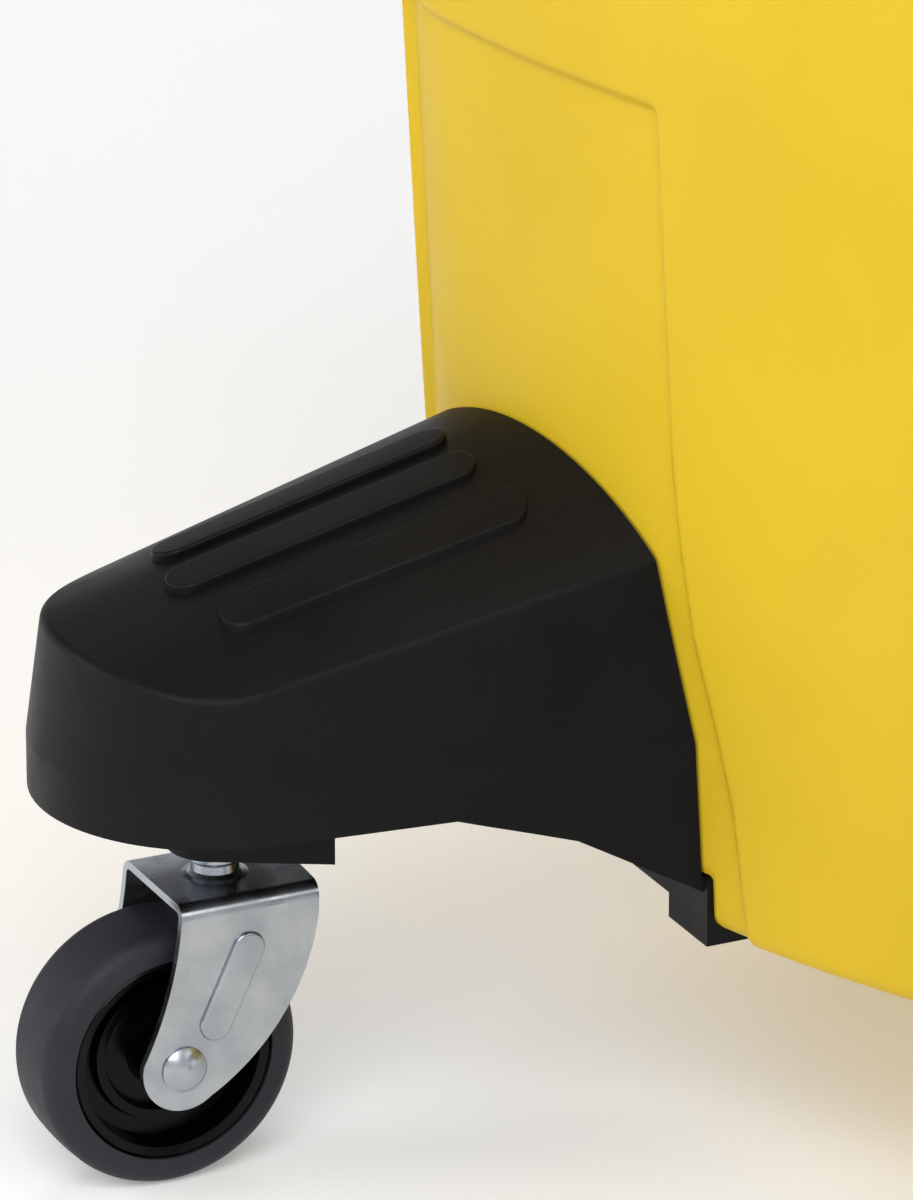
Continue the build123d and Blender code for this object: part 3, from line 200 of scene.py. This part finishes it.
def woven_band():
    """Blue mesh tape: two sets of crossing threads, with painted shade for the open holes between them."""
    finish = Finish("band_mesh", 0.8, specular=0.2)
    threads = []
    for direction in ("Y", "Z"):
        wave = finish.node("ShaderNodeTexWave", bands_direction=direction)
        wave.inputs["Scale"].default_value = 190.0
        wave.inputs["Distortion"].default_value = 0.6
        finish.link(finish.place, wave.inputs["Vector"])
        threads.append(wave.outputs["Fac"])
    cross = finish.node("ShaderNodeMath", operation="MULTIPLY")
    finish.link(threads[0], cross.inputs[0])
    finish.link(threads[1], cross.inputs[1])
    # The darker blue away from the thread crossings is painted shade of the open holes; the lighter blue is
    # the threads' own colour.
    finish.color(cross.outputs["Value"], (0.015, 0.045, 0.16), (0.06, 0.17, 0.46))
    finish.bump(cross.outputs["Value"], 0.0006)
    finish.bump(finish.noise(900.0), 0.0001)
    return finish.material


def cotton():
    """Cotton yarn: off-white with grey damp patches, loose fibres and a soft sheen."""
    finish = Finish("cotton_yarn", 0.92, specular=0.15)
    finish.color(finish.noise(32.0, 5.0), (0.50, 0.46, 0.37), (0.74, 0.70, 0.61))
    finish.bump(finish.noise(1.0, 3.0, finish.stretched(1500.0, 1500.0, 420.0)), 0.0005)
    finish.bump(finish.noise(2600.0, 2.0), 0.0002)
    finish.shader.inputs["Sheen Weight"].default_value = 0.35
    finish.shader.inputs["Sheen Roughness"].default_value = 0.5
    return finish.material


def make_finishes():
    """One material for each slot of the record."""
    return {
        "yellow_plastic": moulded(
            "yellow_plastic", (0.645, 0.438, 0.0175), (0.685, 0.468, 0.0205), 0.46, 0.15
        ),
        "black_plastic": moulded(
            "black_plastic", (0.0046, 0.0046, 0.0052), (0.0071, 0.0069, 0.0076), 0.44, 0.13, 0.00006, 1100.0
        ),
        "gloss_black": moulded(
            "gloss_black", (0.0012, 0.0012, 0.0013), (0.0022, 0.0022, 0.0024), 0.2, 0.14, 0.00001
        ),
        "tread_rubber": rubber("tread_rubber", (0.018, 0.0165, 0.0225), (0.026, 0.0245, 0.032), 0.52, 0.22),
        "rubber_seal": rubber("rubber_seal", (0.012, 0.012, 0.012), (0.02, 0.02, 0.02), 0.6),
        "grip_rubber": rubber("grip_rubber", (0.008, 0.008, 0.009), (0.017, 0.017, 0.018), 0.58),
        "zinc_steel": plated("zinc_steel", (0.36, 0.39, 0.43), (0.47, 0.50, 0.53), 0.27),
        "spring_steel": plated("spring_steel", (0.20, 0.21, 0.23), (0.30, 0.31, 0.33), 0.33),
        "gear_nylon": nylon(),
        "fibreglass": fibreglass(),
        "band_mesh": woven_band(),
        "cotton_yarn": cotton(),
    }


finishes = make_finishes()
for entry in frame["record"]["subparts"]:
    solid = frame["nodes"][entry["node"]]
    solid.data.materials.clear()
    solid.data.materials.append(finishes[entry["material_slot"]])


def make_piece(name, points, faces, node, body, slot):
    """A smooth mesh piece from points in millimetres, which stands for one CAD node."""
    mesh = bpy.data.meshes.new(name)
    mesh.from_pydata([(x / 1000, y / 1000, z / 1000) for x, y, z in points], [], faces)
    mesh.polygons.foreach_set("use_smooth", [True] * len(mesh.polygons))
    mesh.update()
    mesh.materials.append(finishes[slot])
    piece = bpy.data.objects.new(name, mesh)
    scene.collection.objects.link(piece)
    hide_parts(node)
    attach(piece, body)
    return piece


# ---------------------------------------------------------------- tub

FLOOR_Z, RIM_Z = 62.9, 396.0
HALF_LENGTH, HALF_WIDTH = 215.0, 167.2
END_RADIUS, CORNER_RADIUS = 387.0, 58.0
DRAFT_RATE = math.tan(math.radians(2.9))
WALL = 3.5
BOTTOM_ROUND, BOTTOM_ROWS = 4.6, 6
RIM_OVERHANG, RIM_SHEET, RIM_SKIRT = 12.0, 4.0, 16.0
RIM_ROUND, RIM_ROWS = 1.6, 4

SWIVEL = (-276.6, 138.4)
SPLAY = math.radians(24.15)
POCKET_DEPTH, POCKET_TOP, POCKET_SOFT = 2.8, 265.0, 2.2
# Height and half-width of the corner pocket, from the floor up
POCKET_SIDE = (
    (40.0, 76.0), (97.0, 70.5), (115.0, 66.5), (137.0, 60.5), (159.0, 57.5), (176.0, 56.0), (265.0, 55.5),
)
SEAT_BACK, SEAT_STEP, SEAT_TOP_BACK, SEAT_TOP, SEAT_HALF = -104.0, 70.0, -68.0, 138.0, 50.0
NOTCH_HALF, NOTCH_TOP = 61.5, 76.8
# What counts as a corner: this far in along the leg, to each side of it and above the pocket
CORNER_REACH, CORNER_SIDE, CORNER_ABOVE = 170.0, 95.0, 8.0

SPOUT_HALF, SPOUT_DEPTH, SPOUT_REACH, SPOUT_NARROW = 58.0, 62.0, 24.0, 30.0
SPOUT_FOOT, SPOUT_ROOT, SPOUT_NOSE, SPOUT_BULGE = 4.0, 30.0, 0.45, 6.0
SPOUT_AHEAD_OF = -150.0
DRAIN_Z, DRAIN_RADIUS, DRAIN_MARGIN, COLLAR_POINTS = 96.0, 14.0, 1.5, 48

# The plan's points are closest between these distances from the middle and below this angle of the corner
DENSE_FROM, DENSE_TO, DENSE_ANGLE = 26.0, 68.0, math.radians(40)
# The rows lie this far above and below a step of the wall, and grow further apart above this height
STEP_HALF, COARSE_Z = 0.4, 168.0


def between(value, low, high):
    """0 below low, 1 above high, and a smooth ramp between."""
    part = min(1.0, max(0.0, (value - low) / (high - low)))
    return part * part * (3 - 2 * part)


def steps(start, end, spacing):
    """Evenly spaced values from start up to but not including end."""
    count = max(1, round(abs(end - start) / spacing))
    return [start + (end - start) * k / count for k in range(count)]


def tub_outline():
    """Points and outward normals of the tub's plan at the floor, closest near the pockets' edges."""
    inner_radius, inner_width = END_RADIUS - CORNER_RADIUS, HALF_WIDTH - CORNER_RADIUS
    end_x = HALF_LENGTH - END_RADIUS
    corner_x = end_x + math.sqrt(inner_radius**2 - inner_width**2)
    join = math.atan2(inner_width, corner_x - end_x)
    quarter = []
    end_join = END_RADIUS * math.sin(join)
    for y in steps(0, DENSE_FROM, 3) + steps(DENSE_FROM, DENSE_TO, 1) + steps(DENSE_TO, end_join, 3):
        angle = math.asin(y / END_RADIUS)
        normal = (math.cos(angle), math.sin(angle))
        quarter.append((end_x + END_RADIUS * normal[0], END_RADIUS * normal[1], *normal))
    for angle in steps(join, DENSE_ANGLE, 0.05) + steps(DENSE_ANGLE, math.pi / 2, 0.017):
        normal = (math.cos(angle), math.sin(angle))
        x, y = corner_x + CORNER_RADIUS * normal[0], inner_width + CORNER_RADIUS * normal[1]
        quarter.append((x, y, *normal))
    quarter += [(x, HALF_WIDTH, 0.0, 1.0) for x in steps(corner_x, 0, 12)]
    half = quarter + [(0.0, HALF_WIDTH, 0.0, 1.0)]
    half += [(-x, y, -nx, ny) for x, y, nx, ny in reversed(quarter)]
    return half + [(x, -y, nx, -ny) for x, y, nx, ny in reversed(half[1:-1])]


def pocket_half_width(z):
    """Half-width of the corner pocket at a height."""
    z = max(z, POCKET_SIDE[0][0])
    for (low_z, low_width), (high_z, high_width) in zip(POCKET_SIDE, POCKET_SIDE[1:]):
        if z <= high_z:
            return low_width + (high_width - low_width) * (z - low_z) / (high_z - low_z)
    return POCKET_SIDE[-1][1]


def seat_back(z, grow):
    """How far in along the leg the seat reaches at a height."""
    slope = (z - grow - SEAT_STEP) / (SEAT_TOP - SEAT_STEP)
    return SEAT_BACK - grow + max(0.0, slope) * (SEAT_TOP_BACK - SEAT_BACK)


def shaped(x, y, z, normal, inset):
    """Moves a point of the plain wall into the corner pocket or the leg's seat.

    inset is 0 outside and the wall's thickness inside.
    """
    from_x, from_y = -abs(x) - SWIVEL[0], abs(y) - SWIVEL[1]
    along = -math.cos(SPLAY) * from_x + math.sin(SPLAY) * from_y
    across = -math.sin(SPLAY) * from_x - math.cos(SPLAY) * from_y
    if along < -CORNER_REACH or abs(across) > CORNER_SIDE or z > POCKET_TOP + CORNER_ABOVE:
        return x, y
    reach = seat_back(z, inset)
    in_seat = abs(across) < SEAT_HALF + inset and z < SEAT_TOP + inset
    in_notch = abs(across) < NOTCH_HALF + inset and z < NOTCH_TOP + inset
    if (in_seat or in_notch) and along > reach:
        new_x = SWIVEL[0] - math.cos(SPLAY) * reach - math.sin(SPLAY) * across
        new_y = SWIVEL[1] + math.sin(SPLAY) * reach - math.cos(SPLAY) * across
        return math.copysign(new_x, x), math.copysign(new_y, y)
    side = pocket_half_width(z) + inset - abs(across)
    top = POCKET_TOP + inset - z
    beside = between(side, -POCKET_SOFT / 2, POCKET_SOFT / 2)
    depth = POCKET_DEPTH * beside * between(top, -POCKET_SOFT, POCKET_SOFT)
    return x - normal[0] * depth, y - normal[1] * depth


def spout_front(y, z, inset):
    """Foremost x of the pouring lip at a place across and a height, or None beside it."""
    rise = (z - (RIM_Z - SPOUT_DEPTH) - inset) / SPOUT_DEPTH
    if rise < 0:
        return None
    half = SPOUT_HALF - SPOUT_NARROW * (1 - rise) - inset
    start = HALF_LENGTH + SPOUT_FOOT
    full = HALF_LENGTH + (RIM_Z - FLOOR_Z) * DRAFT_RATE + SPOUT_REACH
    reach = start + (full - start) * rise - inset
    nose = SPOUT_NOSE * half
    if abs(y) <= nose:
        return -reach - SPOUT_BULGE * (1 - (y / nose) ** 2)
    root = HALF_LENGTH - SPOUT_ROOT
    share = (abs(y) - nose) / (half - nose)
    return -reach + (reach - root) * share if share < 1 else None


def wall_growth(z):
    """How far the drafted wall stands outside the floor's plan at a height."""
    return (z - FLOOR_Z) * DRAFT_RATE


def outside_rows():
    """Rows from the rounded lower edge up the outside, as (grow, height, inset of the wall)."""
    rows = []
    for k in range(BOTTOM_ROWS):
        angle = math.pi / 2 * k / BOTTOM_ROWS
        z = FLOOR_Z + BOTTOM_ROUND * (1 - math.cos(angle))
        rows.append((wall_growth(z) - BOTTOM_ROUND * (1 - math.sin(angle)), z, 0))
    heights = steps(FLOOR_Z + BOTTOM_ROUND, NOTCH_TOP - STEP_HALF, 3)
    heights += [NOTCH_TOP - STEP_HALF, NOTCH_TOP + STEP_HALF]
    heights += steps(NOTCH_TOP + 3, SEAT_TOP - STEP_HALF, 3)
    heights += [SEAT_TOP - STEP_HALF, SEAT_TOP + STEP_HALF]
    heights += steps(SEAT_TOP + 3, COARSE_Z, 3)
    heights += steps(COARSE_Z, POCKET_TOP - 3, 9)
    heights += steps(POCKET_TOP - 3, POCKET_TOP + 3, 0.75)
    heights += steps(POCKET_TOP + 3, RIM_Z - SPOUT_DEPTH, 12)
    heights += steps(RIM_Z - SPOUT_DEPTH, RIM_Z - RIM_SHEET - 1, 5)
    return rows + [(wall_growth(z), z, 0) for z in heights]


def rim_rows():
    """Rows out under the rolled rim, round its skirt and over its top to the inside."""
    grow, under, skirt = wall_growth(RIM_Z), RIM_Z - RIM_SHEET, RIM_Z - RIM_SKIRT
    inner, outer = grow + (RIM_OVERHANG - RIM_SHEET), grow + RIM_OVERHANG
    rows = [(grow, under - 1, 0), (grow + 1, under, 0), (inner, under, 0)]
    rows += [(inner, skirt + 1, 0), (inner + 1, skirt, 0), (outer - 1, skirt, 0), (outer, skirt + 1, 0)]
    quarter = [math.pi / 2 * k / RIM_ROWS for k in range(RIM_ROWS + 1)]
    for angle in quarter:
        outward, upward = 1 - math.cos(angle), 1 - math.sin(angle)
        rows.append((outer - RIM_ROUND * outward, RIM_Z - RIM_ROUND * upward, 0))
    rows += [(grow + 4, RIM_Z, 0)]
    for angle in quarter:
        inward, downward = 1 - math.sin(angle), 1 - math.cos(angle)
        rows.append((grow - WALL + RIM_ROUND * inward, RIM_Z - RIM_ROUND * downward, WALL))
    return rows


def inside_rows():
    """Rows down the inside to the floor's edge."""
    pocket, seat, notch, floor = POCKET_TOP + WALL, SEAT_TOP + WALL, NOTCH_TOP + WALL, FLOOR_Z + WALL
    heights = steps(RIM_Z - 5, RIM_Z - SPOUT_DEPTH, 7)
    heights += steps(RIM_Z - SPOUT_DEPTH, pocket + 3, 12)
    heights += steps(pocket + 3, pocket - 3, 1.5)
    heights += steps(pocket - 3, COARSE_Z, 12)
    heights += steps(COARSE_Z, seat + 3, 4)
    heights += [seat + STEP_HALF, seat - STEP_HALF]
    heights += steps(seat - 4, notch + 2, 6)
    heights += [notch + STEP_HALF, notch - STEP_HALF]
    heights += steps(notch - 3, floor + 2, 4)
    rows = [(wall_growth(z) - WALL, z, WALL) for z in heights]
    edge = wall_growth(floor) - WALL
    return rows + [(edge - 0.3, floor + 1, WALL), (edge - 1.6, floor, WALL)]


def near_drain(point):
    """Whether a point of the wall lies in the drain's opening."""
    x, y, z = point
    return x > 0 and math.hypot(y, z - DRAIN_Z) < DRAIN_RADIUS + DRAIN_MARGIN


def drain_collar(points, faces):
    """Adds the ring that lines the drain's opening: a closed loop of five circles."""
    wall_x = HALF_LENGTH + wall_growth(DRAIN_Z)
    outer, inner = wall_x + 0.9, wall_x - WALL - 1.2
    rings = [(outer, 5.5), (outer, 0), (inner, 0), (inner, 6), (wall_x - 2, 6)]
    base = len(points)
    for x, extra in rings:
        radius = DRAIN_RADIUS + extra
        for k in range(COLLAR_POINTS):
            angle = 2 * math.pi * k / COLLAR_POINTS
            points.append((x, radius * math.cos(angle), DRAIN_Z + radius * math.sin(angle)))
    for ring in range(len(rings)):
        this = base + ring * COLLAR_POINTS
        following = base + ((ring + 1) % len(rings)) * COLLAR_POINTS
        for k in range(COLLAR_POINTS):
            after = (k + 1) % COLLAR_POINTS
            faces.append((this + k, this + after, following + after, following + k))


def make_tub():
    """The tub: one skin from the floor's edge over the rim to the inside, both floors and the collar."""
    outline, profile = tub_outline(), outside_rows() + rim_rows() + inside_rows()
    columns = len(outline)
    points, faces = [], []
    for grow, z, inset in profile:
        for x, y, nx, ny in outline:
            px, py = shaped(x + nx * grow, y + ny * grow, z, (nx, ny), inset)
            front = spout_front(py, z, inset) if px < SPOUT_AHEAD_OF else None
            points.append((px if front is None else min(px, front), py, z))
    for row in range(len(profile) - 1):
        for k in range(columns):
            a, b = row * columns + k, row * columns + (k + 1) % columns
            if not (near_drain(points[a]) or near_drain(points[b])):
                faces.append((a, b, b + columns, a + columns))
    faces.append(tuple(reversed(range(columns))))
    last = (len(profile) - 1) * columns
    faces.append(tuple(range(last, last + columns)))
    drain_collar(points, faces)
    return make_piece("tub_shell", points, faces, "bucket_tub", "bucket", "yellow_plastic")


make_tub()

# ---------------------------------------------------------------- mop yarn

MOP_X = -112.0
YARN_TOP, YARN_FOLD, YARN_END = 258.0, 229.0, 69.0
BAND_FACE, BAND_HALF = 13.6, 64.0
YARN_RADIUS = 2.9
# Outer strands nearer the middle than this share of the width are held under the gate
HELD_SHARE = 0.93
# How far below the fold a held strand has joined the rest, and how far below it strands wander fully
JOIN_DROP, FREE_DROP = 40, 60
# Height, half-depth and half-width of the yarn's outer form
YARN_FORM = ((68.0, 80.0, 120.0), (128.0, 64.0, 100.0), (229.0, 30.0, 76.0))


def yarn_form(z):
    """Half-depth and half-width of the yarn at a height."""
    z = min(YARN_FORM[-1][0], max(YARN_FORM[0][0], z))
    for low, high in zip(YARN_FORM, YARN_FORM[1:]):
        if z <= high[0]:
            share = (z - low[0]) / (high[0] - low[0])
            return low[1] + (high[1] - low[1]) * share, low[2] + (high[2] - low[2]) * share


def yarn_path(angle, layer, wander, end):
    """Middle line of one strand, from the band or the fold down to its cut end."""
    side = math.copysign(1.0, math.cos(angle))
    over = abs(math.sin(angle)) < HELD_SHARE and layer == 1.0
    path = []
    for z in steps(YARN_TOP if over else YARN_FOLD - 1, end, 2.4):
        half_depth, half_width = yarn_form(z)
        x = (half_depth * layer - YARN_RADIUS - 1) * math.cos(angle)
        y = (half_width * layer - YARN_RADIUS - 1) * math.sin(angle)
        if over:
            hang = between(z, YARN_FOLD - JOIN_DROP, YARN_FOLD + 6)
            x += (side * (BAND_FACE + YARN_RADIUS) - x) * hang
            spread = between(z, YARN_FOLD - JOIN_DROP, YARN_TOP)
            y += (BAND_HALF * math.sin(angle) / HELD_SHARE - y) * spread
        free = between(YARN_FOLD - z, 0, FREE_DROP)
        for size, length, phase in wander:
            x += size * free * layer * math.sin(z / length + phase)
            y += size * free * layer * math.cos(z / length * 1.3 + phase * 2)
        half_depth, half_width = half_depth - YARN_RADIUS, half_width - YARN_RADIUS
        out = math.hypot(x / half_depth, y / half_width)
        if out > 1 and z < YARN_FOLD - 4:
            x, y = x / out, y / out
        path.append(Vector((MOP_X + x, y, z)))
    return path


def add_strand(points, faces, path, phase, around=10, plies=3, pitch=19.0):
    """A twisted rope of plies swept along a path, closed at both ends."""
    base, travelled = len(points), 0.0
    for k, centre in enumerate(path):
        ahead, behind = path[min(k + 1, len(path) - 1)], path[max(k - 1, 0)]
        tangent = (ahead - behind).normalized()
        first = tangent.cross(Vector((0.31, 0.95, 0.02))).normalized()
        second = tangent.cross(first)
        travelled += (centre - behind).length
        twist = 2 * math.pi * travelled / pitch + phase
        closing = min(1.0, 0.35 + 0.3 * min(k, len(path) - 1 - k))
        for j in range(around):
            angle = 2 * math.pi * j / around
            lobe = abs(math.cos(plies / 2 * (angle - twist)))
            radius = YARN_RADIUS * closing * (0.66 + 0.38 * lobe)
            points.append(tuple(centre + radius * (math.cos(angle) * first + math.sin(angle) * second)))
    for k in range(len(path) - 1):
        for j in range(around):
            a, b = base + k * around + j, base + k * around + (j + 1) % around
            faces.append((a, b, b + around, a + around))
    faces.append(tuple(base + j for j in reversed(range(around))))
    faces.append(tuple(base + (len(path) - 1) * around + j for j in range(around)))


def make_yarn():
    """The mop's strands in four layers, hanging from the band on both sides of the gate and fanning out."""
    chance = random.Random(11)
    points, faces = [], []
    for layer, count in ((1.0, 84), (0.87, 70), (0.68, 46), (0.42, 26)):
        for k in range(count):
            angle = 2 * math.pi * (k + 0.5 * (layer < 1)) / count
            wander = [
                (chance.uniform(0.6, 2.2), chance.uniform(11, 18), chance.uniform(0, 6.3)),
                (chance.uniform(1.5, 4.0), chance.uniform(28, 45), chance.uniform(0, 6.3)),
            ]
            end = YARN_END + YARN_RADIUS + chance.uniform(0, 9)
            add_strand(points, faces, yarn_path(angle, layer, wander, end), chance.uniform(0, 6.3))
    return make_piece("yarn_strands", points, faces, "mop_yarn", "mop", "cotton_yarn")


make_yarn()

# ---------------------------------------------------------------- stage and light

FLOOR_HALF = 6.0


def area_light(name, place, target, size, power):
    """A soft square light that faces its target."""
    data = bpy.data.lights.new(name, "AREA")
    data.size = size
    data.energy = power
    light = bpy.data.objects.new(name, data)
    light.location = place
    light.rotation_euler = (Vector(target) - Vector(place)).to_track_quat("-Z", "Y").to_euler()
    scene.collection.objects.link(light)


def make_world():
    """A room that is bright in front and at the horizon, and dim overhead and above the far side."""
    world = bpy.data.worlds.new("studio")
    world.use_nodes = True
    tree = world.node_tree
    direction = tree.nodes.new("ShaderNodeTexCoord")
    split = tree.nodes.new("ShaderNodeSeparateXYZ")
    ramp = tree.nodes.new("ShaderNodeValToRGB")
    ramp.color_ramp.elements[0].color = (0.86, 0.86, 0.86, 1.0)
    ramp.color_ramp.elements[1].position = 0.45
    ramp.color_ramp.elements[1].color = (0.40, 0.40, 0.41, 1.0)
    tree.links.new(direction.outputs["Generated"], split.inputs["Vector"])
    tree.links.new(split.outputs["Z"], ramp.inputs["Fac"])
    behind = tree.nodes.new("ShaderNodeVectorMath")
    behind.operation = "DOT_PRODUCT"
    behind.inputs[1].default_value = (0.76, 0.65, 0.0)
    share = tree.nodes.new("ShaderNodeMapRange")
    share.inputs["From Max"].default_value = 0.7
    height = tree.nodes.new("ShaderNodeMapRange")
    height.inputs["From Min"].default_value = 0.12
    height.inputs["From Max"].default_value = 0.4
    both = tree.nodes.new("ShaderNodeMath")
    both.operation = "MULTIPLY"
    dimmed = tree.nodes.new("ShaderNodeMix")
    dimmed.data_type = "RGBA"
    dimmed.inputs["B"].default_value = (0.12, 0.12, 0.13, 1.0)
    tree.links.new(direction.outputs["Generated"], behind.inputs[0])
    tree.links.new(behind.outputs["Value"], share.inputs["Value"])
    tree.links.new(split.outputs["Z"], height.inputs["Value"])
    tree.links.new(share.outputs["Result"], both.inputs[0])
    tree.links.new(height.outputs["Result"], both.inputs[1])
    tree.links.new(both.outputs["Value"], dimmed.inputs["Factor"])
    tree.links.new(ramp.outputs["Color"], dimmed.inputs["A"])
    tree.links.new(dimmed.outputs["Result"], tree.nodes["Background"].inputs["Color"])
    scene.world = world
    scene.view_settings.view_transform = "Standard"


def make_floor():
    """A wide sheet of pale paper, a little brighter than the light on it makes it."""
    half = FLOOR_HALF
    mesh = bpy.data.meshes.new("floor")
    corners = [(-half, -half, 0), (half, -half, 0), (half, half, 0), (-half, half, 0)]
    mesh.from_pydata(corners, [], [(0, 1, 2, 3)])
    finish = Finish("floor_paper", 0.95, specular=0.1)
    finish.color(finish.noise(3.0), (0.93, 0.93, 0.93), (0.95, 0.95, 0.95))
    finish.shader.inputs["Emission Color"].default_value = (1.0, 1.0, 1.0, 1.0)
    finish.shader.inputs["Emission Strength"].default_value = 0.19
    mesh.materials.append(finish.material)
    floor = bpy.data.objects.new("floor", mesh)
    scene.collection.objects.link(floor)


def make_lights():
    """Soft lights: a large one from the upper left, one at each side and a weak one from behind."""
    area_light("key", (-2.3, -1.3, 2.3), (-0.2, 0, 0.2), 2.0, 60)
    area_light("left", (-2.0, 1.8, 1.2), (-0.2, 0.1, 0.2), 1.6, 22)
    area_light("right", (0.4, -2.6, 1.2), (0, -0.1, 0.2), 2.0, 26)
    area_light("back", (1.8, 1.6, 2.2), (0, 0, 0.3), 1.5, 12)


make_world()
make_floor()
make_lights()
